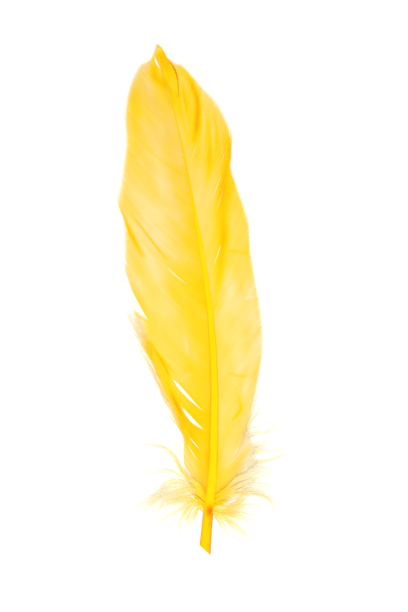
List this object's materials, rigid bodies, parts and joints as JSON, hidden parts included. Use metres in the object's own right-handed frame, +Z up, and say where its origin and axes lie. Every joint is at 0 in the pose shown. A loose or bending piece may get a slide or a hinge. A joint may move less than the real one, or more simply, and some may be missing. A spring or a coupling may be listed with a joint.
{
  "type": "turkey wing feather",
  "caption": "Dyed turkey wing feather with a slant-cut hollow quill, a tapering shaft, a wide and a narrow vane, and loose down at its foot, lying inner side up.",
  "frame": {"origin": "on the surface the feather lies on, under the middle of its bounding box", "axes": "+Y from the cut end of the quill towards the tip, +Z up from the surface, +X to the right, towards the narrow vane"},
  "size_m": [0.09, 0.2814, 0.0101],
  "materials": {
    "shaft": "smooth, slightly glossy dyed keratin",
    "vane": "fine barbed, translucent dyed keratin with a soft sheen",
    "down": "pale, loose and fluffy"
  },
  "bodies": {
    "root": {"shaft": "shaft", "left_vane": "vane", "right_vane": "vane", "left_down": "down", "right_down": "down"}
  },
  "joints": []
}
